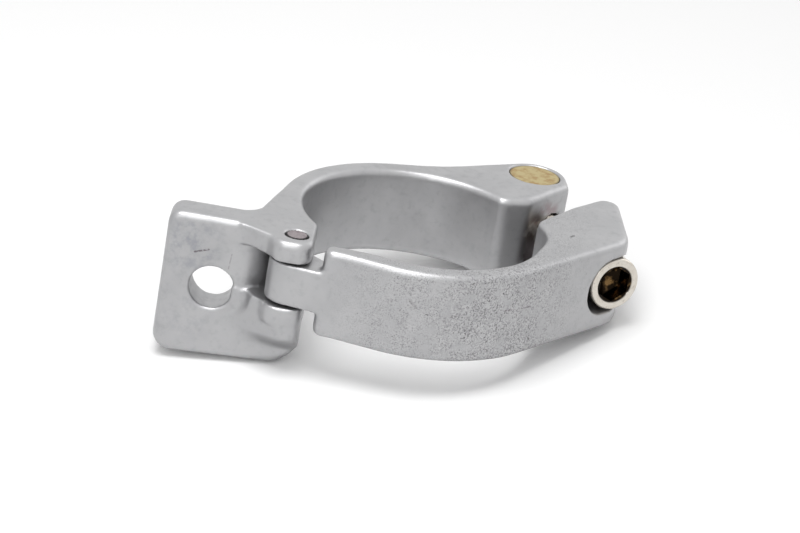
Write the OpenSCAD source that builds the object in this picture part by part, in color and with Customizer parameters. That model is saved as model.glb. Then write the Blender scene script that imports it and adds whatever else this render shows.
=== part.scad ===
// Hinged seat tube clamp that carries a bolt-on front derailleur.
// Millimetres. Z is the seat tube's axis, the origin is the bore's centre,
// -Y is the side that the derailleur's mounting face looks to.
// The two halves are drawn hinged open, as the clamp lies loose.

/* [Seat tube and band] */
// Outer diameter of the seat tube that the clamp closes on
tube_d = 34.9; // [31.8:0.1:36]
// Height of the band along the tube
band_h = 14; // [13:0.5:16]
// Wall of the bracket half behind the tube
bracket_wall = 3.6; // [3:0.1:4.5]
// Wall of the arm half in front of the tube
arm_wall = 3.75; // [3:0.1:4.5]
// Rounding of the cast edges
edge_r = 1.1; // [0.5:0.1:1.2]
// Angle that the arm stands open from fully closed
open_angle = 5; // [0:0.5:7.5]

/* [Hinge] */
// Diameter of the hinge pin
pin_d = 3.5; // [3:0.1:3.8]
// Distance of the pin's axis outside the bore
pin_offset = 5.97; // [5.6:0.1:6.5]
// Radius of the tongue's rounded end
tongue_r = 3.6; // [3.3:0.1:3.8]
// Thickness of the tongue along the pin
tongue_h = 6.6; // [5:0.1:7]
// Gap between the tongue and each ear
ear_gap = 0.3; // [0.1:0.05:0.5]
// Gap between the tongue's end and the pocket's floor
pocket_gap = 1.1; // [0.6:0.1:1.4]
// Running clearance of the tongue on the pin, on the radius
pin_fit = 0.05; // [0.02:0.01:0.1]

/* [Mounting plate] */
// Thickness of the plate
plate_t = 6; // [5:0.1:7]
// Distance of the plate's far edge from the hinge pin
plate_reach = 19.2; // [17:0.1:22]
// How far the plate hangs below the band
plate_drop = 8.8; // [6:0.1:11]
// Diameter of the derailleur bolt's hole
hole_d = 6.6; // [5.5:0.1:7]
// Distance of that hole's axis from the plate's far edge
hole_inset = 7.7; // [7:0.1:8.5]
// Height of that hole's axis below the middle of the band
hole_low = 4.2; // [3.8:0.1:5]
// Diameter of the spot face round the hole
spot_d = 12.2; // [11:0.1:13]
// Depth of the spot face in the plate
spot_deep = 0.06; // [0.05:0.01:0.3]

/* [Clamp bolt and barrel nut] */
// Thread diameter of the bolt
bolt_d = 5; // [4:0.1:5.2]
// Length of the bolt under its head
bolt_len = 20; // [18:0.5:24]
// Diameter of the cap head
head_d = 8.5; // [7.5:0.1:8.6]
// Height of the cap head
head_h = 5; // [4:0.1:5.5]
// Width of the hex socket across its flats
socket_af = 5; // [4:0.5:5]
// Depth of the hex socket
socket_deep = 2.8; // [2:0.1:3.2]
// Clearance under the head while the clamp hangs open
seat_gap = 0.3; // [0.25:0.05:0.5]
// Diameter of the barrel nut
nut_d = 7.9; // [7:0.1:8]
// How far each end of the nut lies below the boss's face
nut_sink = 0.3; // [0.1:0.1:1]
// Running clearance of the nut in its boss, on the radius
nut_fit = 0.05; // [0.02:0.01:0.1]
// Clearance of the thread in the nut, on the radius
thread_fit = 0.05; // [0.02:0.01:0.1]
// Wall of the boss round the nut
boss_wall = 1.35; // [1:0.05:2]
// Gap that is left between the two halves when closed
closed_gap = 0.7; // [0.4:0.1:1.5]

/* [Hidden] */
cut = 0.1;
fine = 96;
levels = 4;
big_step = 4;
small_step = 12;

bore_r = tube_d / 2;
// The outlines run well inside the bore, which is then cut round.
void_r = bore_r - 1.6;
half_h = band_h / 2;
// The plate stands this far proud of the band that it is cast with.
seam = 0.03;

function polar(r, a) = [r * cos(a), r * sin(a)];
function turn(p, c, a) = c + [
    (p[0] - c[0]) * cos(a) - (p[1] - c[1]) * sin(a),
    (p[0] - c[0]) * sin(a) + (p[1] - c[1]) * cos(a)];
function heading(v) = atan2(v[1], v[0]);
function unit(v) = v / norm(v);

// Point where two lines meet, each given by the angle of its normal and its
// distance from the origin.
function meet(a1, d1, a2, d2) = [
    (d1 * sin(a2) - d2 * sin(a1)) / sin(a2 - a1),
    (d2 * cos(a1) - d1 * cos(a2)) / sin(a2 - a1)];

// Distance from the origin of the line with normal angle a through point p.
function reach(p, a) = p[0] * cos(a) + p[1] * sin(a);

// Angle at which such a line, n for normal angle, crosses a circle of radius r.
function crossing(n, d, r, side) = n + side * acos(d / r);

// Points of an arc round c, as corners without a rounding of their own.
function arc(c, r, from, to, step) =
    let (n = ceil(abs(to - from) / step))
    [for (k = [0 : n])
        let (p = c + polar(r, from + (to - from) * k / n))
        [p[0], p[1], 0]];

// One corner b between a and c, rounded with radius r.
function rounded(a, b, c, r) =
    r <= 0 ? [b] :
    let (
        v1 = unit(a - b),
        v2 = unit(c - b),
        half = acos(v1 * v2) / 2,
        centre = b + unit(v1 + v2) * r / sin(half),
        from = heading(b + v1 * r / tan(half) - centre),
        to = heading(b + v2 * r / tan(half) - centre),
        raw = to - from,
        sweep = raw > 180 ? raw - 360 : raw < -180 ? raw + 360 : raw,
        n = max(2, ceil(abs(sweep) / small_step))
    )
    [for (k = [0 : n]) centre + polar(r, from + sweep * k / n)];

// Closed outline from corners [x, y, rounding].
function outline(corners) =
    let (n = len(corners), xy = [for (c = corners) [c[0], c[1]]])
    [for (i = [0 : n - 1])
        each rounded(xy[(i + n - 1) % n], xy[i], xy[(i + 1) % n], corners[i][2])];

// The outline moved inwards by d, each point along the bisector of its sides.
function inset(pts, d) =
    let (n = len(pts))
    [for (i = [0 : n - 1])
        let (
            u = unit(pts[i] - pts[(i + n - 1) % n]),
            v = unit(pts[(i + 1) % n] - pts[i]),
            m = [-u[1] - v[1], u[0] + v[0]] / (1 + u * v)
        )
        pts[i] + m * d];

// Slab of an outline between two heights, with rounded top and bottom edges.
// The rounding runs on a little past each face, which is then trimmed flat.
module cast_slab(pts, low, high, r) {
    n = len(pts);
    big = 200;
    quarter = [for (k = [0 : levels - 1]) let (a = 90 * k / levels)
        [r * (1 - cos(a)), r * sin(a)]];
    profile = concat(quarter, [[r, r] * 1.5 - quarter[levels - 1] / 2]);
    rings = concat(
        [for (k = [0 : levels]) [profile[levels - k][0], low + r - profile[levels - k][1]]],
        [for (k = [0 : levels]) [profile[k][0], high - r + profile[k][1]]]);
    points = [for (ring = rings)
        for (p = inset(pts, ring[0])) [p[0], p[1], ring[1]]];
    last = len(rings) - 1;
    sides = [for (k = [0 : last - 1]) for (i = [0 : n - 1])
        let (j = (i + 1) % n, a = k * n, b = k * n + n)
        each [[a + i, b + i, b + j], [a + i, b + j, a + j]]];
    difference() {
        polyhedron(
            points = points,
            faces = concat(
                [[for (i = [0 : n - 1]) i]],
                [[for (i = [0 : n - 1]) last * n + n - 1 - i]],
                sides),
            convexity = 8);
        for (z = [low - r, high])
            translate([-big / 2, -big / 2, z])
            cube([big, big, r]);
    }
}

// Hinge.
pin_at = polar(bore_r + pin_offset, 223.1);
pin_r = pin_d / 2;
slot_h = tongue_h + 2 * ear_gap;
pocket_r = tongue_r + pocket_gap;
ear_front = pin_at[1] - 4;
ear_side = pin_at[0] + 2.8;

// Mounting plate.
plate_y = pin_at[1] + 0.7;
plate_back = plate_y + plate_t;
plate_far = pin_at[0] - plate_reach;
plate_bottom = -half_h - plate_drop;
hole_at = [plate_far + hole_inset, -hole_low];

// Boss, parting faces and bolt.
nut_r = nut_d / 2;
nut_at = polar(bore_r + 13.34, 56.3);
boss_r = nut_r + boss_wall;
// The parting faces stand at this angle, given by their normal.
part_a = -33.1;
part_d = reach(nut_at, part_a) + nut_r + 2.25;
arm_part_d = part_d + closed_gap;
// Seat of the bolt's head in the arm, and the range of the bolt's direction
// in the arm between closed and fully open.
seat_closed = nut_at + polar(17.3, -57.3);
seat_open = turn(seat_closed, pin_at, -open_angle);
bolt_a = heading(seat_open - nut_at);
bolt_from_nut = norm(seat_open - nut_at);
swing_max = 7.5;
seat_wide = turn(seat_closed, pin_at, -swing_max);
lean_closed = heading(seat_closed - nut_at);
lean_wide = heading(seat_wide - nut_at) + swing_max;
lean_mid = (lean_closed + lean_wide) / 2;
bolt_r = bolt_d / 2;
head_r = head_d / 2;
recess_r = head_r + 0.2;
// How far the recess runs to each side of the head, and the bolt's hole to
// each side of the bolt.
recess_left = 1.6;
recess_right = 0.3;
bolt_room = 0.45;

// Bracket half.
back_r = bore_r + bracket_wall;
// The back of the boss runs down to the ring as a straight flank.
flank_a = 122;
flank_d = reach(nut_at, flank_a) + boss_r;
ring_from = flank_a - acos(min(0.999, flank_d / back_r)) + 16;
ring_to = 166;
flare_a = -67.4;
flare_d = reach(polar(bore_r + 4.9, 39.4), flare_a);
// Line on which the flare's rounded corner runs out through the bore's wall.
lip_a = -106;
lip_d = reach(polar(bore_r, 46.5), lip_a);

bracket_corners = concat(
    [concat(meet(flare_a, flare_d, part_a, part_d), 1.5)],
    [concat(meet(part_a, part_d, 8, reach(nut_at, 8) + boss_r), 1.5)],
    arc(nut_at, boss_r, 8, flank_a, small_step),
    [concat(meet(flank_a, flank_d, ring_from, back_r), 22)],
    arc([0, 0], back_r, ring_from, ring_to, big_step),
    [concat(meet(ring_to, back_r, 90, plate_back - seam), 3.5)],
    [[plate_far + 4, plate_back - seam, 0]],
    [[plate_far + 4, plate_y + seam, 0]],
    [[pin_at[0] - 5.9, plate_y + seam, 3.5]],
    [[pin_at[0] - 2.3, ear_front, 2.4]],
    [[ear_side, ear_front, 2.6]],
    arc([0, 0], void_r, 360 + crossing(0, ear_side, void_r, -1),
        crossing(lip_a, lip_d, void_r, 1), 2 * big_step),
    [concat(meet(lip_a, lip_d, flare_a, flare_d), 3)]);

// Plate outline seen from the front, x and height.
plate_corners = [
    [plate_far, plate_bottom, 2.8],
    [pin_at[0] + 2, plate_bottom + 1.2, 4.2],
    [ear_side, -half_h + 2, 0],
    [ear_side - 6, -half_h + 2, 0],
    [ear_side - 9, half_h + seam, 0],
    [plate_far, half_h + seam, 2]];

module plate() {
    translate([0, plate_y, 0])
        rotate([90, 0, 0])
        cast_slab(outline(plate_corners), -plate_t, 0, edge_r);
}

// Cutter of the pocket between the ears. It grazes the plate's face as it
// runs out towards the derailleur bolt's hole.
module ear_pocket() {
    translate([0, 0, -slot_h / 2])
        linear_extrude(slot_h)
        union() {
            translate(pin_at)
                circle(r = pocket_r, $fn = fine);
            polygon([
                [hole_at[0] - 1, plate_y - 0.02],
                [hole_at[0] - 1, ear_front - 4],
                [ear_side + 6, ear_front - 4],
                [ear_side + 6, plate_y + 0.8],
                pin_at + polar(pocket_r - 0.1, 40),
                pin_at + polar(pocket_r - 0.9, 160)]);
        }
}

// Cutter of the bore, with rounded mouths at the band's two faces. It runs on
// downwards, where the plate's edge is relieved behind the tube.
module bore_cut() {
    over = 0.3;
    wide = bore_r + edge_r + over;
    tall = half_h + over * tan(45 / levels);
    mouth = [for (k = [0 : levels - 1]) let (a = 90 * k / levels)
        [bore_r + edge_r * (1 - cos(a)), half_h - edge_r * (1 - sin(a))]];
    rotate_extrude($fn = 2 * fine)
        polygon(concat(
            [[0, plate_bottom - 1], [wide, plate_bottom - 1], [wide, -tall]],
            [for (k = [1 : levels]) [mouth[levels - k][0], -mouth[levels - k][1]]],
            mouth,
            [[wide, tall], [0, tall]]));
}

module along_bolt(at, a) {
    translate([at[0], at[1], 0])
        rotate([0, 0, a])
        rotate([0, 90, 0])
        children();
}

module bracket() {
    color("silver")
        difference() {
            union() {
                cast_slab(outline(bracket_corners), -half_h, half_h, edge_r);
                plate();
            }
            bore_cut();
            ear_pocket();
            translate([pin_at[0], pin_at[1], -band_h])
                cylinder(r = pin_r, h = band_h * 2, $fn = fine);
            translate([nut_at[0], nut_at[1], -band_h])
                cylinder(r = nut_r + nut_fit, h = band_h * 2, $fn = fine);
            along_bolt(nut_at, bolt_a)
                translate([0, 0, -3 * boss_r])
                cylinder(r = bolt_r + 0.4, h = 6 * boss_r, $fn = fine);
            translate([hole_at[0], plate_y + 2 * plate_t, hole_at[1]])
                rotate([90, 0, 0])
                cylinder(r = hole_d / 2, h = 4 * plate_t, $fn = fine);
            translate([hole_at[0], plate_y + spot_deep, hole_at[1]])
                rotate([90, 0, 0])
                cylinder(r = spot_d / 2, h = plate_t, $fn = fine);
        }
}

// Arm half, drawn closed and then turned open.
arm_r = bore_r + arm_wall;
arm_end = pin_at[0] + 4.7;
arm_outer_y = pin_at[1] - 4.2;
arm_inner_y = pin_at[1] - 0.8;
lug_a = -33.4;
lug_end_a = 12.2;
lug_end_d = reach(seat_closed, lug_end_a) + 3.65;
lug_part_a = part_a + 180;
lug_part_r = 2.2;
// Line on which the lug's inner corner runs out through the bore's wall.
lug_lip_a = 182;
lug_lip_d = reach(polar(bore_r, 30), lug_lip_a);

arm_corners = concat(
    [[arm_end, arm_outer_y, edge_r + 0.4]],
    [concat(meet(269, -arm_outer_y, 262, arm_r), 4)],
    arc([0, 0], arm_r, 263, 360 + lug_a, big_step),
    [concat(meet(lug_a, arm_r, lug_end_a, lug_end_d), 7)],
    [concat(meet(lug_end_a, lug_end_d, lug_part_a, -arm_part_d), lug_part_r)],
    [concat(meet(lug_part_a, -arm_part_d, lug_lip_a, lug_lip_d), 2.5)],
    arc([0, 0], void_r, crossing(lug_lip_a, lug_lip_d, void_r, -1), -98, 2 * big_step),
    [[-3, arm_inner_y, 0]],
    [[arm_end, arm_inner_y, edge_r + 0.4]]);

module tongue() {
    translate([0, 0, -tongue_h / 2])
        linear_extrude(tongue_h)
        union() {
            translate(pin_at)
                circle(r = tongue_r, $fn = fine);
            polygon([
                pin_at,
                pin_at + polar(tongue_r, 264),
                [arm_end + 1, arm_outer_y + 0.1],
                [arm_end + 3, arm_inner_y - 0.3],
                pin_at + polar(tongue_r, 55)]);
        }
}

// Recess for the bolt's head, wider along the band than it is high, so that
// the head can lean while the arm swings.
module head_recess() {
    along_bolt(seat_closed, lean_mid)
        union() {
            for (side = [-recess_left, recess_right])
                translate([0, side, 0])
                cylinder(r = recess_r, h = 20, $fn = fine);
            translate([0.02 - recess_r, -recess_left, 0])
                cube([2 * recess_r - 0.04, recess_left + recess_right, 20]);
        }
}

// Oval hole that lets the bolt lean while the arm swings.
module bolt_slot() {
    along_bolt(seat_closed, lean_mid)
        translate([0, 0, -20])
        union() {
            for (side = [-bolt_room, bolt_room])
                translate([0, side, 0])
                cylinder(r = bolt_r + 0.2, h = 24, $fn = fine);
            translate([-bolt_r - 0.18, -bolt_room, 0])
                cube([bolt_d + 0.36, 2 * bolt_room, 24]);
        }
}

module clamp_arm() {
    color("lightgray")
        translate([pin_at[0], pin_at[1], 0])
        rotate([0, 0, -open_angle])
        translate([-pin_at[0], -pin_at[1], 0])
        difference() {
            union() {
                cast_slab(outline(arm_corners), -half_h, half_h, edge_r);
                tongue();
            }
            bore_cut();
            translate([pin_at[0], pin_at[1], -band_h])
                cylinder(r = pin_r + pin_fit, h = band_h * 2, $fn = fine);
            head_recess();
            bolt_slot();
        }
}

module hinge_pin() {
    color("gray")
        translate([pin_at[0], pin_at[1], -half_h + 0.1])
        cylinder(r = pin_r, h = band_h - 0.2, $fn = fine);
}

module barrel_nut() {
    color("goldenrod")
        difference() {
            translate([nut_at[0], nut_at[1], -half_h + nut_sink])
                cylinder(r = nut_r, h = band_h - 2 * nut_sink, $fn = fine);
            along_bolt(nut_at, bolt_a)
                translate([0, 0, -nut_d])
                cylinder(r = bolt_r + thread_fit, h = 2 * nut_d, $fn = fine);
        }
}

// Bolt profile: radius and distance from the underside of the head.
module clamp_bolt() {
    color("dimgray")
        along_bolt(nut_at, bolt_a)
        translate([0, 0, bolt_from_nut + seat_gap])
        difference() {
            rotate_extrude($fn = fine)
                polygon([
                    [0, -bolt_len],
                    [bolt_r - 0.5, -bolt_len],
                    [bolt_r, -bolt_len + 0.5],
                    [bolt_r, 0],
                    [head_r - 0.2, 0],
                    [head_r, 0.2],
                    [head_r, head_h - 0.6],
                    [head_r - 0.18, head_h - 0.18],
                    [head_r - 0.6, head_h],
                    [0, head_h]]);
            translate([0, 0, head_h - socket_deep])
                cylinder(d = socket_af / cos(30), h = socket_deep + cut, $fn = 6);
        }
}

bracket();
clamp_arm();
hinge_pin();
barrel_nut();
clamp_bolt();
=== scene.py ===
import math

import bmesh
import bpy
import numpy as np
from mathutils import Matrix, Vector


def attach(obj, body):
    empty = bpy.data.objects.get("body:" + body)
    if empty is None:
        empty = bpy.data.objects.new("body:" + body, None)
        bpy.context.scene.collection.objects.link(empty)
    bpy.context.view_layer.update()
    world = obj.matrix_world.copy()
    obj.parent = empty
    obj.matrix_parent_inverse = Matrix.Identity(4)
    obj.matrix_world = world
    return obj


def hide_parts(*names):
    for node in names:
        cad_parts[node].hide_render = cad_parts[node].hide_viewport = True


# Front derailleur clamp. Metres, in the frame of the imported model: Z is the seat tube.

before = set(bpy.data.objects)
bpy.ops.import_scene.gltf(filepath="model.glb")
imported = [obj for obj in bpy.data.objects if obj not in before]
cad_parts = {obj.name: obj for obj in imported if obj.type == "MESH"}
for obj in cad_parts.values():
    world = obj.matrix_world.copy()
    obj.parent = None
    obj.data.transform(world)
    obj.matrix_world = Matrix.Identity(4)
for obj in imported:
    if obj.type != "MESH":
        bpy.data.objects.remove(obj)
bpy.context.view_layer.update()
scene = bpy.context.scene
print("frame loaded:", sorted(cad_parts))

hinge = np.array([-0.0171004, -0.0160023])  # x and y of the hinge pin
nutCentre = np.array([0.0170837, 0.0256159])
boltAxis = np.array([0.53015, -0.847904, 0.0])  # from the nut to the head
holeCentre = np.array([-0.0286004, -0.0042])  # x and z of the derailleur bolt's hole
plateFront = -0.0153023


class Wire:  # a socket that Python's operators work on; each one adds a Math node
    def __init__(self, board, socket):
        self.board = board
        self.socket = socket

    def maths(self, operation, *others):
        values = dict(enumerate((self, *others)))
        return self.board.node("ShaderNodeMath", {"operation": operation}, values)

    def __add__(self, other):
        return self.maths("ADD", other)

    def __sub__(self, other):
        return self.maths("SUBTRACT", other)

    def __mul__(self, other):
        return self.maths("MULTIPLY", other)

    def __truediv__(self, other):
        return self.maths("DIVIDE", other)

    def __rsub__(self, other):
        return self.board.node("ShaderNodeMath", {"operation": "SUBTRACT"}, {0: other, 1: self})

    __radd__ = __add__
    __rmul__ = __mul__

    def ramp(self, low, high):  # 0 at low, 1 at high, eased between
        settings = {"interpolation_type": "SMOOTHSTEP"}
        return self.board.node(
            "ShaderNodeMapRange", settings, {"Value": self, "From Min": low, "From Max": high}
        )


class Board:  # the nodes of one material or world
    def __init__(self, owner):
        self.owner = owner
        owner.use_nodes = True
        self.tree = owner.node_tree
        self.tree.nodes.clear()

    def node(self, kind, settings=None, values=None, output=0):
        made = self.tree.nodes.new(kind)
        for name, value in (settings or {}).items():
            setattr(made, name, value)
        for name, value in (values or {}).items():
            if isinstance(value, Wire):
                self.tree.links.new(value.socket, made.inputs[name])
            else:
                made.inputs[name].default_value = value
        return Wire(self, made.outputs[output]) if made.outputs else None

    def place(self):  # Object coordinates
        return self.node("ShaderNodeTexCoord", output="Object")

    def axes(self):
        split = self.node("ShaderNodeSeparateXYZ", {}, {"Vector": self.place()})
        outputs = split.socket.node.outputs
        return [Wire(self, outputs[k]) for k in range(3)]

    def noise(self, scale, detail=2.0, roughness=0.5):
        where = self.place()
        values = {"Vector": where, "Scale": scale, "Detail": detail, "Roughness": roughness}
        return self.node("ShaderNodeTexNoise", {}, values)

    def bump(self, height, strength, distance):
        values = {"Strength": strength, "Distance": distance, "Height": height}
        return self.node("ShaderNodeBump", {}, values)

    def mix(self, mask, first, second):  # the first colour where the mask is 0
        settings = {"data_type": "RGBA", "clamp_factor": True}
        made = self.node("ShaderNodeMix", settings, {0: mask})
        for place, colour in ((6, first), (7, second)):
            socket = made.socket.node.inputs[place]
            if isinstance(colour, Wire):
                self.tree.links.new(colour.socket, socket)
            else:
                socket.default_value = (*colour, 1.0)
        return Wire(self, made.socket.node.outputs[2])

    def finish(self, shader, output="ShaderNodeOutputMaterial"):
        self.node(output, {}, {"Surface": shader})
        return self.owner

    def metal(self, colour, metallic, roughness, normal):
        values = {
            "Base Color": colour,
            "Metallic": metallic,
            "Roughness": roughness,
            "Normal": normal,
        }
        return self.finish(self.node("ShaderNodeBsdfPrincipled", {}, values))


def newMaterial(name):
    return Board(bpy.data.materials.new(name))


casting = {
    "grey": (0.42, 0.42, 0.428),
    "dark": (0.27, 0.27, 0.285),
    "pale": (0.52, 0.52, 0.525),
    "grit": (0.20, 0.195, 0.20),
    "pit": (0.07, 0.065, 0.07),
    # near-black painted shade for the gap between boss and lug, with a faint red of real
    # residue
    "paintedGapShadeAndResidue": (0.025, 0.012, 0.014),
    "roughness": 0.40,
    "metal": 0.9,
    "bump": 0.35,
    "bumpHigh": 0.00005,
    "cloud": (160.0, 3.0, 0.55),  # scale, detail and roughness of each noise
    "mottle": (900.0, 4.0, 0.6),
    "grain": (5200.0, 2.0, 0.6),
}

speckle = {
    "patches": (420.0, 3.0, 0.6),  # noise that makes it thick and thin, and its soft limits
    "patchy": (0.27, 0.57),
    "dark": (0.51, 0.64),  # the part of the fine noise that is dark, pale or a pit
    "pale": (0.36, 0.49),
    "pit": (0.70, 0.76),
    "pitScale": 0.62,  # of the fine noise's scale
    "pitStrength": 0.7,
}


def castAluminium(name, marks):
    # Grey metal = grey mixed with cloudy light and dark, then speckle with pits, smudges and
    # stains (one of them painted shade in the gap by the lug), each inside the soft-edged
    # region that its mark names.
    board = newMaterial(name)
    x, y, z = board.axes()
    cloud = board.noise(*casting["cloud"])
    mottle = board.noise(*casting["mottle"])
    grain = board.noise(*casting["grain"])
    colour = board.mix(cloud.ramp(0.35, 0.7) * 0.35, casting["grey"], casting["pale"])
    colour = board.mix(mottle.ramp(0.5, 0.72) * 0.22, colour, casting["dark"])
    rough = casting["roughness"] + (mottle - 0.5) * 0.18
    height = grain * 0.25 + mottle * 0.35
    for mark in marks:
        mask = mark["where"](x, y, z)
        if mark["kind"] == "speckle":
            fine = board.noise(mark["scale"], 2.0, 0.7)
            patchy = board.noise(*speckle["patches"]).ramp(*speckle["patchy"])
            dark = fine.ramp(*speckle["dark"]) * mask * patchy * mark["strength"]
            light = (1 - fine.ramp(*speckle["pale"])) * mask * patchy * mark["strength"]
            colour = board.mix(dark, colour, casting["grit"])
            colour = board.mix(light, colour, casting["pale"])
            coarse = board.noise(mark["scale"] * speckle["pitScale"], 1.0, 0.5)
            pits = coarse.ramp(*speckle["pit"]) * mask * patchy
            colour = board.mix(pits * speckle["pitStrength"], colour, casting["pit"])
            rough = rough + dark * 0.12
            height = height - dark * 0.35 - pits * 1.2
        elif mark["kind"] == "smudge":
            patch = board.noise(mark["scale"], 4.0, 0.65).ramp(0.42, 0.66)
            colour = board.mix(patch * mask * mark["strength"], colour, mark["colour"])
        elif mark["kind"] == "stain":
            # stains: real marks, and also the painted shade that darkens the gap by the lug
            ragged = board.noise(mark["scale"], 3.0, 0.6).ramp(0.30, 0.52)
            colour = board.mix(mask * ragged * mark["strength"], colour, mark["colour"])
            height = height - mask * ragged * mark["deep"]
    normal = board.bump(height, casting["bump"], casting["bumpHigh"])
    return board.metal(colour, casting["metal"], rough, normal)


def ballAround(centre, inner, outer):
    # 1 within inner of the centre, 0 past outer
    def mask(x, y, z):
        dx, dy, dz = x - centre[0], y - centre[1], z - centre[2]
        gap = (dx * dx + dy * dy + dz * dz).maths("SQRT")
        return 1 - gap.ramp(inner, outer)

    return mask


def alongLine(start, end, width):
    # 1 on the line from start to end, 0 past width from it: t = how far along, held to 0..1
    way = [end[k] - start[k] for k in range(3)]
    long = sum(step * step for step in way)

    def mask(x, y, z):
        gaps = [x - start[0], y - start[1], z - start[2]]
        t = sum((gaps[k] * way[k] for k in (1, 2)), gaps[0] * way[0]) / long
        t = t.maths("MINIMUM", 1.0).maths("MAXIMUM", 0.0)
        off = [gaps[k] - t * way[k] for k in range(3)]
        gap = (off[0] * off[0] + off[1] * off[1] + off[2] * off[2]).maths("SQRT")
        return 1 - gap.ramp(width * 0.35, width)

    return mask


armFace = {
    "radius": (0.0192, 0.0204),  # from the bore's axis, past the bore's wall
    "left": (-0.013, 0.0),  # x over which the speckle fades in, and out again
    "right": (0.021, 0.029),
    "bendLeft": (0.002, 0.010),  # the same for the bend, where it is thicker
    "bendBack": (-0.014, -0.004),
}


def armOuterFace(x, y, z):
    # the arm's outer face: far from the bore's axis, fading to both ends
    radius = (x * x + y * y).maths("SQRT").ramp(*armFace["radius"])
    return radius * x.ramp(*armFace["left"]) * (1 - x.ramp(*armFace["right"]))


def armBend(x, y, z):
    # the part of the outer face that bends back towards the lug
    bend = x.ramp(*armFace["bendLeft"])
    return armOuterFace(x, y, z) * bend * (1 - y.ramp(*armFace["bendBack"]))


armMarks = [
    {"kind": "speckle", "where": armOuterFace, "scale": 4600.0, "strength": 0.7},
    {"kind": "speckle", "where": armBend, "scale": 3400.0, "strength": 0.9},
    {
        "kind": "smudge",
        "where": armOuterFace,
        "scale": 300.0,
        "strength": 0.25,
        "colour": (0.34, 0.34, 0.35),
    },
    {
        "kind": "stain",
        "where": alongLine((0.0234, 0.0016, 0.007), (0.0238, 0.0022, 0.007), 0.0003),
        "scale": 5000.0,
        "strength": 0.85,
        "deep": 0.5,
        "colour": (0.08, 0.08, 0.08),
    },
    {
        "kind": "stain",
        "where": alongLine((0.0008, -0.0227, 0.0024), (0.0019, -0.0227, 0.0014), 0.00030),
        "scale": 1500.0,
        "strength": 0.4,
        "deep": 0.6,
        "colour": (0.16, 0.15, 0.15),
    },
    {
        "kind": "stain",
        "where": alongLine((0.0150, -0.0177, 0.0013), (0.0186, -0.0139, 0.0010), 0.00018),
        "scale": 4200.0,
        "strength": 0.6,
        "deep": 0.5,
        "colour": (0.12, 0.09, 0.11),
    },
]

bracketMarks = [
    {
        "kind": "smudge",
        "where": ballAround((-0.0325, -0.0153, 0.0020), 0.002, 0.0065),
        "scale": 520.0,
        "strength": 0.6,
        "colour": (0.27, 0.28, 0.31),
    },
    {
        "kind": "smudge",
        "where": ballAround((-0.0320, -0.0153, -0.0090), 0.001, 0.0060),
        "scale": 700.0,
        "strength": 0.35,
        "colour": (0.30, 0.30, 0.33),
    },
    {
        "kind": "stain",
        "where": alongLine((-0.0317, -0.0153, 0.0011), (-0.0297, -0.0153, 0.0018), 0.00022),
        "scale": 2600.0,
        "strength": 0.85,
        "deep": 0.8,
        "colour": (0.13, 0.11, 0.12),
    },
    {
        "kind": "stain",
        "where": alongLine((-0.0262, -0.0151, 0.0016), (-0.0264, -0.0151, -0.0008), 0.00013),
        "scale": 1800.0,
        "strength": 0.5,
        "deep": 0.4,
        "colour": (0.22, 0.20, 0.21),
    },
    {
        "kind": "stain",
        "where": alongLine((-0.0219, -0.0167, -0.0044), (-0.0218, -0.0167, -0.0045), 0.00032),
        "scale": 400.0,
        "strength": 1.0,
        "deep": 1.0,
        "colour": (0.03, 0.03, 0.03),
    },
    {
        "kind": "stain",
        "where": alongLine((0.0173, 0.0147, -0.0025), (0.0174, 0.0147, -0.0026), 0.00045),
        "scale": 400.0,
        "strength": 0.75,
        "deep": 0.5,
        "colour": (0.07, 0.07, 0.07),
    },
    # painted shade: darkens the boss's parting face in the gap beside the lug, where shade
    # falls, with a little red residue mixed in
    {
        "kind": "stain",
        "where": alongLine((0.0190, 0.0148, -0.0080), (0.0192, 0.0150, 0.0022), 0.0040),
        "scale": 220.0,
        "strength": 0.95,
        "deep": 0.0,
        "colour": casting["paintedGapShadeAndResidue"],
    },
    {
        "kind": "stain",
        "where": alongLine((0.0200, 0.0172, 0.0046), (0.0216, 0.0196, 0.0036), 0.0018),
        "scale": 600.0,
        "strength": 0.40,
        "deep": 0.0,
        "colour": (0.20, 0.05, 0.06),
    },
    {
        "kind": "smudge",
        "where": ballAround((0.0020, 0.0170, 0.0), 0.010, 0.017),
        "scale": 110.0,
        "strength": 0.25,
        "colour": (0.30, 0.295, 0.30),
    },
]


brass = {
    "yellow": (0.50, 0.41, 0.20),
    "tarnish": (0.34, 0.20, 0.08),
    "rim": (0.16, 0.12, 0.07),
    "rings": 21000.0,  # turning marks, radians to the metre
    "patches": (700.0, 4.0, 0.6),
    "rimRadius": (0.0036, 0.00395),  # where the dull rim begins, and where it is full
}


def brassMaterial():
    # Yellow metal with faint turning rings round the nut's axis and tarnished patches.
    board = newMaterial("satinBrass")
    x, y = board.axes()[:2]
    dx, dy = x - float(nutCentre[0]), y - float(nutCentre[1])
    radius = (dx * dx + dy * dy).maths("SQRT")
    rings = (radius * brass["rings"]).maths("SINE")
    tarnish = board.noise(*brass["patches"]).ramp(0.42, 0.68)
    colour = board.mix(tarnish * 0.75, brass["yellow"], brass["tarnish"])
    colour = board.mix(radius.ramp(*brass["rimRadius"]) * 0.6, colour, brass["rim"])
    normal = board.bump(rings * 0.5 + tarnish, 0.4, 0.00002)
    return board.metal(colour, 0.75, 0.42 + tarnish * 0.15, normal)


plating = {
    "nickel": (0.66, 0.62, 0.56),
    "haze": (0.52, 0.47, 0.40),
    "dust": (0.22, 0.19, 0.16),
    "paintedShadeAndGrease": (0.012, 0.008, 0.005),
    "paintedGoldReflection": (0.20, 0.12, 0.05),
    "socketRadius": (0.00290, 0.00312),  # soft limits of the painted socket shade, round the bolt's axis
    "socketDepth": (0.0225, 0.0227),  # and along it, from the nut's axis
}


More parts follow.
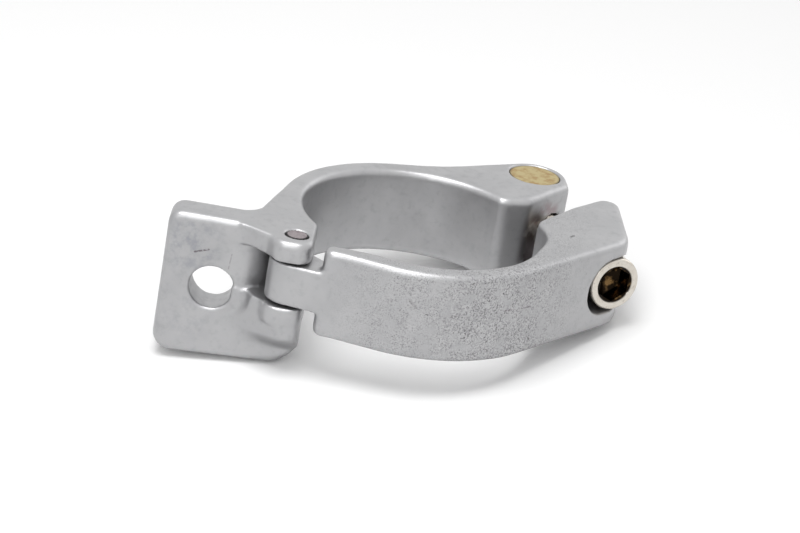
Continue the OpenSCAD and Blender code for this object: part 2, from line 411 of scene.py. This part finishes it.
def platedMaterial():
    # Warm nickel with fine haze and a little dust; inside the socket, nearer the bolt's axis
    # than its mouth, it is near-black painted shade with patches of painted golden reflection.
    board = newMaterial("nickelPlate")
    x, y, z = board.axes()
    dx, dy = x - float(nutCentre[0]), y - float(nutCentre[1])
    along = dx * float(boltAxis[0]) + dy * float(boltAxis[1])
    across = dx * float(boltAxis[1]) - dy * float(boltAxis[0])
    radius = (across * across + z * z).maths("SQRT")
    # the socket's inside, which gets painted shade
    inSocket = 1 - radius.ramp(*plating["socketRadius"])
    inSocket = inSocket * along.ramp(*plating["socketDepth"])
    haze = board.noise(900.0, 3.0, 0.6)
    dust = board.noise(2600.0, 2.0, 0.6).ramp(0.58, 0.75)
    colour = board.mix(haze.ramp(0.4, 0.7) * 0.4, plating["nickel"], plating["haze"])
    colour = board.mix(dust * 0.3, colour, plating["dust"])
    # patches of painted golden reflection over the socket's painted shade
    paintedGoldReflection = board.noise(520.0, 2.0, 0.5).ramp(0.50, 0.62)
    paintedShadeAndGrease = board.mix(paintedGoldReflection, plating["paintedShadeAndGrease"], plating["paintedGoldReflection"])
    colour = board.mix(inSocket, colour, paintedShadeAndGrease)
    rough = 0.16 + haze * 0.14 + dust * 0.1
    return board.metal(colour, 1.0, rough, board.bump(dust, 0.25, 0.00002))


pinSteel = {
    "light": (0.33, 0.29, 0.30),
    "dark": (0.24, 0.205, 0.215),
    "paintedShadeAndGrease": (0.012, 0.010, 0.010),
    "rimRadius": (0.00138, 0.00152),  # where the greasy rim begins, and where it is full
}


def pinMaterial():
    # Dull pinkish steel disc; the knurled rim is dark with grease.
    board = newMaterial("pinSteel")
    x, y = board.axes()[:2]
    dx, dy = x - float(hinge[0]), y - float(hinge[1])
    rim = (dx * dx + dy * dy).maths("SQRT").ramp(*pinSteel["rimRadius"])
    blotch = board.noise(1500.0, 3.0, 0.6)
    colour = board.mix(blotch.ramp(0.4, 0.65), pinSteel["light"], pinSteel["dark"])
    colour = board.mix(rim, colour, pinSteel["paintedShadeAndGrease"])
    normal = board.bump(blotch, 0.4, 0.00003)
    return board.metal(colour, 0.85 - rim * 0.8, 0.38 + blotch * 0.2, normal)


def gridFaces(rows, columns):
    # quads of a grid whose columns run round and close on themselves
    i, j = np.meshgrid(np.arange(rows - 1), np.arange(columns), indexing="ij")
    k = (j + 1) % columns
    low, high = i * columns, (i + 1) * columns
    return np.stack([low + j, low + k, high + k, high + j], -1).reshape(-1, 4)


def addMesh(name, points, faces, material, sharp=40.0):
    mesh = bpy.data.meshes.new(name)
    mesh.from_pydata(points.tolist(), [], faces.tolist())
    mesh.validate()
    work = bmesh.new()
    work.from_mesh(mesh)
    bmesh.ops.remove_doubles(work, verts=work.verts, dist=1e-7)
    bmesh.ops.recalc_face_normals(work, faces=work.faces)
    work.to_mesh(mesh)
    work.free()
    mesh.materials.append(material)
    mesh.polygons.foreach_set("use_smooth", np.ones(len(mesh.polygons), bool))
    mesh.set_sharp_from_angle(angle=math.radians(sharp))
    made = bpy.data.objects.new(name, mesh)
    scene.collection.objects.link(made)
    return made


def axisFrame(direction):
    # three unit vectors, the last along the direction
    w = np.array(direction, float) / np.linalg.norm(direction)
    u = np.cross([0.0, 0.0, 1.0], w)
    if np.linalg.norm(u) < 1e-6:
        u = np.array([1.0, 0.0, 0.0])
    u = u / np.linalg.norm(u)
    return u, np.cross(w, u), w


def roundAxis(origin, direction, s, r, t):
    # point = origin + u r cos t + v r sin t + w s, with s the distance along the axis w and r
    # the distance from it at angle t
    u, v, w = axisFrame(direction)
    points = (
        np.asarray(origin, float)
        + u * (r * np.cos(t))[..., None]
        + v * (r * np.sin(t))[..., None]
        + w * s[..., None]
    )
    return points.reshape(-1, 3)


tumbling = {
    "voxel": 0.00026,  # grid of the remesh that rounds and joins the solids
    "smoothing": 12,  # passes that wear the edges round
    "smoothingPart": 0.5,  # how far each pass moves a point
    "waviness": 0.00004,  # depth of the uneven cast skin
    "wave": 0.006,  # length of its longest waves
}


def mergedPoints(node):
    # the node's corners merged by place, with its triangles
    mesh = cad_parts[node].data
    points = np.empty(len(mesh.vertices) * 3)
    mesh.vertices.foreach_get("co", points)
    points = points.reshape(-1, 3)
    loops = np.empty(len(mesh.loops), int)
    mesh.loops.foreach_get("vertex_index", loops)
    steps = np.round(points / 1e-7).astype(np.int64)
    first, back = np.unique(steps, axis=0, return_index=True, return_inverse=True)[1:]
    faces = back.ravel()[loops].reshape(-1, 3)
    good = (faces != np.roll(faces, 1, axis=1)).all(axis=1)
    return points[first], faces[good]


def skinNoise(points, wave):
    # sum of slanted sine waves of three lengths, about -1 to 1, the same on every run
    rng = np.random.default_rng(7)
    total = np.zeros(len(points))
    for size in (1.0, 0.61, 0.37):
        for k in range(5):
            direction = rng.normal(size=3)
            direction /= np.linalg.norm(direction)
            phase = rng.uniform(0, 2 * math.pi)
            total += size * np.sin(points @ direction * 2 * math.pi / (wave * size) + phase)
    return total / 6.0


def takeModifiers(made):
    # the object's modifiers worked into its mesh
    bpy.context.view_layer.update()
    evaluated = made.evaluated_get(bpy.context.evaluated_depsgraph_get())
    worn = bpy.data.meshes.new_from_object(evaluated)
    worn.name = made.name
    made.modifiers.clear()
    made.data = worn
    return worn


ears = {
    "gridFrom": -0.0256,  # x where the fillers begin
    "start": -0.0251,  # x where the slope leaves the plate
    "easing": 0.0007,
    "slope": 0.60,
    "front": 0.0046,  # how far the ears stand out from the plate
    "right": -0.0169,  # x where their front corner starts to turn
    "turn": 0.0026,
    "proud": 0.00003,  # fillers stand over the solid by this, and reach into it
    "into": 0.0013,
    "pinLeft": -0.0189,  # x that keeps the fillers off the pin's hole
    "end": -0.01445,
    "pocket": 0.00365,  # z of the ears' inner faces, from the middle
    "top": 0.0069,
    "topRound": 0.0011,
    "roundFrom": 0.0058,  # z where the round of the top edge begins
    "lowJoin": (-0.0074, -0.0068),  # the two lower fillers overlap between these z
    "lowFade": (-0.0122, 0.0040),  # z where the lower slope begins to rise, and over what
    "spotFlat": 0.0050,  # radius of the flat round the hole and of its lip
    "spotLip": 0.0060,
    "lipHigh": 0.0012,
}

scoop = {
    "deep": 0.0024,
    "left": -0.0262,  # x where it starts, and where it reaches its depth
    "full": -0.0206,
    "right": -0.0200,
    "most": 1.3,  # how far past the full point the curve runs on
    "half": 0.0036,  # half its height
    "back": -0.0110,  # only points in front of this y move
}

plateCorner = {
    "level": -0.0100,  # z of the round corner's centre
    "from": -0.0193,  # x where the level edge ends
    "wide": 0.0049,
    "radius": 0.0050,
    "squash": 0.82,
}


def earSlope(x, z, fade):
    # Height over the plate = a straight slope that eases out of the plate, no more than the
    # ears' rounded front corner, times fade; inside the lip it drops to the flat as a cone.
    u = x - ears["start"]
    rise = ears["slope"] * 0.5 * (u + np.sqrt(u * u + ears["easing"] ** 2))
    beyond = np.clip(x - ears["right"], 0, ears["turn"])
    corner = ears["front"] - ears["turn"] + np.sqrt(ears["turn"] ** 2 - beyond**2)
    high = np.minimum(np.minimum(rise, corner), ears["front"]) * fade
    gap = np.hypot(x - holeCentre[0], z - holeCentre[1])
    lip = np.clip((gap - ears["spotFlat"]) / (ears["spotLip"] - ears["spotFlat"]), 0, 1)
    cone = lip * ears["lipHigh"] + np.where(gap > ears["spotLip"], 1.0, 0.0)
    return np.minimum(high, cone)


def slopeFiller(right, low, high, fade):
    # Closed block up to x = right and between z = low(x) and high: a grid of front points on
    # the slope, the same grid pushed into the plate, and walls round the rim.
    n, m = 90, 60
    across = np.linspace(ears["gridFrom"], right, n)
    x, part = np.meshgrid(across, np.linspace(0, 1, m), indexing="ij")
    z = low(x) + part * (high - low(x))
    front = plateFront - earSlope(x, z, fade(z)) + ears["proud"]
    back = np.full_like(front, plateFront + ears["into"])
    points = np.vstack([np.stack([x, y, z], -1).reshape(-1, 3) for y in (front, back)])
    i, j = np.meshgrid(np.arange(n - 1), np.arange(m - 1), indexing="ij")
    a, half = (i * m + j).ravel(), n * m
    down, along = np.arange(n) * m, np.arange(m)
    rim = np.concatenate(
        [down, down[-1] + along[1:], down[-2::-1] + m - 1, along[-2:0:-1]]
    )
    onward = np.roll(rim, -1)
    corners = [
        (a, a + m, a + m + 1, a + 1),
        (a + half, a + 1 + half, a + m + 1 + half, a + m + half),
        (rim, rim + half, onward + half, onward),
    ]
    return points, np.vstack([np.stack(four, -1) for four in corners])


def upperFade(z):
    # 1 up to the round of the top edge, then less by the drop of a quarter circle
    radius = ears["topRound"]
    over = np.clip(z - ears["roundFrom"], 0, radius)
    return 1 - (radius - np.sqrt(radius**2 - over**2)) / ears["front"]


def lowerFade(z):
    # eased from 0 at the plate's lower edge to 1
    start, length = ears["lowFade"]
    t = np.clip((z - start) / length, 0, 1)
    return t * t * (3 - 2 * t)


def pocketTop(x):
    return ears["pocket"] + 0 * x


def lowJoin(x):
    return ears["lowJoin"][0] + 0 * x


def plateEdge(x):
    # the plate's lower edge: level, then round its right corner by a flattened circle
    beyond = np.clip(x - plateCorner["from"], 0, plateCorner["wide"])
    drop = np.sqrt(plateCorner["radius"] ** 2 - beyond**2)
    return plateCorner["level"] - drop * plateCorner["squash"]


def scoopOut(points):
    # Beside the tongue, between the ears, the plate's face is pushed back to the scoop:
    # depth grows with the square of the way towards the tongue.
    x, y, z = points.T
    way = (x - scoop["left"]) / (scoop["full"] - scoop["left"])
    floor = plateFront + scoop["deep"] * np.clip(way, 0, scoop["most"]) ** 2
    inside = (np.abs(z) < scoop["half"]) & (x > scoop["left"]) & (x < scoop["right"])
    inside = inside & (y < scoop["back"])
    points[:, 1] = np.where(inside, np.maximum(y, floor), y)
    return points


lugTip = {
    "back": 0.0011,  # how far the tip moves
    "from": -0.0060,  # y where the move begins, and where it is full
    "to": 0.0008,
    "still": 0.0235,  # x that stays, and x that moves fully
    "free": 0.0182,
}


def tipBack(points):
    # The lug's inner tip draws back from the bore: the shift grows along the wall towards
    # the tip and dies out into the lug.
    x, y, z = points.T
    up = np.clip((y - lugTip["from"]) / (lugTip["to"] - lugTip["from"]), 0, 1)
    deep = np.clip((lugTip["still"] - x) / (lugTip["still"] - lugTip["free"]), 0, 1)
    shift = lugTip["back"] * up * up * (3 - 2 * up) * deep
    points[:, 0] = np.where(x > 0, x + shift, x)
    return points


def tumbledCasting(name, node, body, material, fillers=(), carve=None):
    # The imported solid, with any fillet fillers, remeshed on a fine grid and worn round by
    # smoothing; each point then moves along its normal by a shallow noise.
    points, faces = mergedPoints(node)
    faces = faces.tolist()
    for fillPoints, fillFaces in fillers:
        faces += (fillFaces + len(points)).tolist()
        points = np.vstack([points, fillPoints])
    mesh = bpy.data.meshes.new(name)
    mesh.from_pydata(points.tolist(), [], faces)
    made = bpy.data.objects.new(name, mesh)
    scene.collection.objects.link(made)
    grid = made.modifiers.new("grid", "REMESH")
    grid.mode = "VOXEL"
    grid.voxel_size = tumbling["voxel"]
    worn = takeModifiers(made)
    if carve:
        place = np.empty(len(worn.vertices) * 3)
        worn.vertices.foreach_get("co", place)
        worn.vertices.foreach_set("co", carve(place.reshape(-1, 3)).astype(np.float32).ravel())
        worn.update()
    wear = made.modifiers.new("wear", "SMOOTH")
    wear.factor = tumbling["smoothingPart"]
    wear.iterations = tumbling["smoothing"]
    worn = takeModifiers(made)
    count = len(worn.vertices)
    place, normal = np.empty(count * 3), np.empty(count * 3)
    worn.vertices.foreach_get("co", place)
    worn.vertex_normals.foreach_get("vector", normal)
    place, normal = place.reshape(-1, 3), normal.reshape(-1, 3)
    depth = (skinNoise(place, tumbling["wave"]) - 1.0) * 0.5 * tumbling["waviness"]
    place = place + normal * depth[:, None]
    worn.vertices.foreach_set("co", place.astype(np.float32).ravel())
    worn.update()
    worn.materials.clear()
    worn.materials.append(material)
    worn.polygons.foreach_set("use_smooth", np.ones(len(worn.polygons), bool))
    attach(made, body)
    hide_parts(node)
    print(name, "has", len(worn.polygons), "faces")
    return made


earFillers = [
    slopeFiller(ears["pinLeft"], pocketTop, ears["top"], upperFade),
    slopeFiller(ears["pinLeft"], lowJoin, -ears["pocket"], lowerFade),
    slopeFiller(ears["end"], plateEdge, ears["lowJoin"][1], lowerFade),
]
bracketCasting = tumbledCasting(
    "bracketCasting",
    "bracket",
    "bracket",
    castAluminium("bracketAluminium", bracketMarks),
    earFillers,
    scoopOut,
)
armCasting = tumbledCasting(
    "armCasting", "clamp_arm", "arm", castAluminium("armAluminium", armMarks), (), tipBack
)


pin = {
    "radius": 0.00173,
    "notches": 17,
    "notchDeep": 0.00019,
    "halfLength": 0.0069,
    "knurl": 0.0016,  # length of each knurled end
    "runOut": 0.0002,
    "bevel": 0.00012,
    "columns": 204,
}


def pinRadius(s, t):
    # Full radius less a saw of notches round the two knurled ends, and a small end bevel.
    top, high = pin["halfLength"], pin["bevel"]
    end = np.clip((np.abs(s) - (top - pin["knurl"])) / pin["runOut"], 0, 1)
    saw = np.abs(np.sin(t * pin["notches"] / 2 + 0.35 * np.sin(3 * t)))
    bevel = np.clip((np.abs(s) - (top - high)) / high, 0, 1) * high
    rim = pin["radius"] - pin["notchDeep"] * end * saw - bevel
    return np.where(np.abs(s) > top + 1e-9, 0.0, rim)


def pinSurface():
    # rows from the pin's foot to its top: bevel, knurl, plain length, knurl, bevel, and a
    # closing point at both ends
    top, knurl = pin["halfLength"], pin["knurl"]
    upper = [top - knurl - pin["runOut"], top - knurl, top - pin["bevel"], top, top + 0.000001]
    s = np.array([-step for step in reversed(upper)] + upper)[:, None]
    t = np.linspace(0.0, 2 * math.pi, pin["columns"], endpoint=False)
    r = pinRadius(s, t[None, :])
    points = roundAxis((*hinge, 0.0), (0, 0, 1), np.broadcast_to(s, r.shape), r, t)
    return points, gridFaces(len(s), pin["columns"])


hingePin = addMesh("knurledPin", *pinSurface(), pinMaterial())
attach(hingePin, "bracket")
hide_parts("hinge_pin")

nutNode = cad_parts["barrel_nut"]
nutNode.data.materials.clear()
nutNode.data.materials.append(brassMaterial())

bolt = {
    "seat": 0.0220655,  # distance of the head's underside from the nut's axis
    "length": 0.020,
    "shank": 0.00250,
    "root": 0.00213,
    "pitch": 0.0008,
    "plain": 0.0030,  # length without thread, under the head
    "runIn": 0.0006,  # taper at the thread's tip, and how deep
    "tip": 0.0004,
    "runOut": 0.0008,  # where the thread fades into the plain length
    "head": 0.00422,
    "headHigh": 0.005,
    "rim": 0.0005,  # radius of the round on the head's edge
    "acrossFlats": 0.005,
    "mouth": 0.00305,  # radius of the socket's chamfer
    "deep": 0.0028,
    "columns": 96,
}


def hexRadius(t):
    # distance from the centre to a hexagon's side at angle t
    return bolt["acrossFlats"] / 2 / np.cos((t + math.pi / 6) % (math.pi / 3) - math.pi / 6)


def boltSurface():
    # One closed grid: rows run up the shank, round the head's edge, across its top, down the
    # socket's mouth and wall and across its floor; columns run round the axis. A row is a
    # pair: the place along the axis, and the distance from it at each angle. The thread is a
    # ridge whose phase is the height over the pitch less the angle over a turn.
    t = np.linspace(0.0, 2 * math.pi, bolt["columns"], endpoint=False)[None, :]
    length, top, shank = bolt["length"], bolt["headHigh"], bolt["shank"]
    head, mouth, floor = bolt["head"], bolt["mouth"], bolt["headHigh"] - bolt["deep"]
    hexagon = hexRadius(t)
    threadEnd = -bolt["plain"]
    turns = int((length - bolt["plain"]) / bolt["pitch"] * 10)
    rows = [(-length, 0.0), (-length, bolt["root"] - 0.0003)]
    for s in np.linspace(-length + 0.0001, threadEnd, turns):
        phase = (s / bolt["pitch"] - t / (2 * math.pi)) % 1.0
        ridge = np.clip(1.15 - 2.3 * np.abs(phase - 0.5), 0.0, 1.0)
        fade = min(1.0, (s + length) / bolt["runIn"], (threadEnd - s) / bolt["runOut"] + 0.1)
        depth = (shank - bolt["root"]) * (1 - ridge) * max(fade, 0.0)
        taper = max(0.0, 1 - (s + length) / bolt["runIn"]) * bolt["tip"]
        rows.append((s, shank - depth - taper))
    rows += [(-bolt["plain"] + 0.0002, shank), (-0.0001, shank), (0.0, shank + 0.0001)]
    rows += [(0.0, head - 0.0002), (0.0001, head - 0.00003), (0.0003, head)]
    for turn in np.linspace(0.0, math.pi / 2, 9):
        edge = top - bolt["rim"] * (1 - math.sin(turn))
        rows.append((edge, head - bolt["rim"] * (1 - math.cos(turn))))
    rows += [
        (top, mouth + 0.00018),
        (top - 0.00003, mouth + 0.00005),
        (top - 0.00012, mouth - 0.00004),
        (top - 0.00035, np.minimum(hexagon, mouth - 0.00006)),
        (top - 0.0006, hexagon * 0.999),
        (top - bolt["deep"] * 0.6, hexagon * 0.998),
        (floor, hexagon * 0.996),
        (floor - 0.0001, hexagon * 0.86),
        (floor - 0.0010, 0.0),
    ]
    s = np.vstack([np.full_like(t, along) for along, out in rows])
    r = np.vstack([np.broadcast_to(out, t.shape) for along, out in rows])
    w = axisFrame(boltAxis)[2]
    start = np.array([*nutCentre, 0.0]) + w * bolt["seat"]
    return roundAxis(start, boltAxis, s, r, t), gridFaces(len(rows), bolt["columns"])


capBolt = addMesh("capBolt", *boltSurface(), platedMaterial(), 35.0)
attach(capBolt, "bolt")
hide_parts("clamp_bolt")
print("fasteners made")


photo = {
    "width": 800,
    "focal": 3614.4,  # in pixels
    "sensor": 36.0,  # in millimetres
    "elevation": math.radians(22.4),
    "roll": math.radians(9.82),
    "shiftX": 11.2,  # in pixels
    "shiftY": -10.1,
    "distance": 0.549,
}


def photoCamera():
    # The camera looks at the origin from straight in front and above, rolled about its view;
    # the two shifts, in pixels at the origin's distance, move it sideways and up.
    back = np.array([0.0, -math.cos(photo["elevation"]), math.sin(photo["elevation"])])
    level = np.array([1.0, 0.0, 0.0])
    rise = np.array([0.0, math.sin(photo["elevation"]), math.cos(photo["elevation"])])
    right = math.cos(photo["roll"]) * level + math.sin(photo["roll"]) * rise
    up = -math.sin(photo["roll"]) * level + math.cos(photo["roll"]) * rise
    metres = photo["distance"] / photo["focal"]
    place = back * photo["distance"]
    place = place - right * photo["shiftX"] * metres + up * photo["shiftY"] * metres
    camera = bpy.data.objects.new("photoCamera", bpy.data.cameras.new("photoCamera"))
    camera.data.sensor_width = photo["sensor"]
    camera.data.lens = photo["sensor"] * photo["focal"] / photo["width"]
    camera.data.clip_start = 0.01
    camera.data.clip_end = 10.0
    turn = Matrix([[right[k], up[k], back[k], place[k]] for k in range(3)] + [[0, 0, 0, 1]])
    camera.matrix_world = turn
    scene.collection.objects.link(camera)
    scene.camera = camera


photoCamera()

table = {
    "normal": (-0.101, -0.098, 0.990),  # of the plane that plate, boss and lug rest on
    "size": 1.6,
    "colour": (0.96, 0.96, 0.96, 1.0),
    "glow": 0.06,  # seen by the camera alone
}


def tableTop():
    # A square across the table's normal, at the height of the object's lowest point along it.
    normal = np.array(table["normal"]) / np.linalg.norm(table["normal"])
    lowest = 1e9
    for piece in (bracketCasting, armCasting):
        points = np.empty(len(piece.data.vertices) * 3)
        piece.data.vertices.foreach_get("co", points)
        lowest = min(lowest, float((points.reshape(-1, 3) @ normal).min()))
    u, v, w = axisFrame(normal)
    half = table["size"] / 2
    signs = ((-1, -1), (1, -1), (1, 1), (-1, 1))
    corners = [w * lowest + u * a * half + v * b * half for a, b in signs]
    board = newMaterial("tableWhite")
    seen = board.node("ShaderNodeLightPath", output="Is Camera Ray")
    glow = board.node("ShaderNodeEmission", {}, {"Strength": seen * table["glow"]})
    matt = board.node("ShaderNodeBsdfDiffuse", {}, {"Color": table["colour"]})
    both = board.node("ShaderNodeAddShader", {}, {0: matt, 1: glow})
    made = addMesh("tableTop", np.array(corners), np.array([[0, 1, 2, 3]]), board.finish(both))
    if made.data.polygons[0].normal @ Vector(normal) < 0:
        made.data.flip_normals()


tableTop()

lamps = [
    {"name": "overhead", "from": (-0.09, -0.13, 0.40), "size": 0.24, "power": 1.15},
    {"name": "frontLeft", "from": (-0.12, -0.50, 0.30), "size": 0.30, "power": 0.60},
    {"name": "backRight", "from": (0.35, 0.40, 0.30), "size": 0.35, "power": 0.30},
]


def addLamp(name, place, size, power):
    light = bpy.data.lights.new(name, "AREA")
    light.size = size
    light.energy = power
    made = bpy.data.objects.new(name, light)
    made.location = place
    made.rotation_euler = (-Vector(place)).to_track_quat("-Z", "Y").to_euler()
    scene.collection.objects.link(made)


for lamp in lamps:
    addLamp(lamp["name"], lamp["from"], lamp["size"], lamp["power"])


room = {
    "level": 0.44,  # what lights the object
    "shown": 0.56,  # added where the white is seen
}


def whiteWorld():
    # White where the camera, a reflection or glass sees it, and a plain level for the rest.
    scene.world = bpy.data.worlds.new("whiteRoom")
    board = Board(scene.world)
    camera = board.node("ShaderNodeLightPath", output="Is Camera Ray")
    path = camera.socket.node.outputs
    seen = camera.maths("MAXIMUM", Wire(board, path["Is Transmission Ray"]))
    glossy = Wire(board, path["Is Glossy Ray"])
    strength = room["level"] + seen * room["shown"] + glossy * room["shown"]
    values = {"Color": (1, 1, 1, 1), "Strength": strength.maths("MINIMUM", 1.0)}
    glow = board.node("ShaderNodeBackground", {}, values)
    board.finish(glow, "ShaderNodeOutputWorld")


whiteWorld()
scene.view_settings.view_transform = "Standard"
print("camera, table and lamps ready")
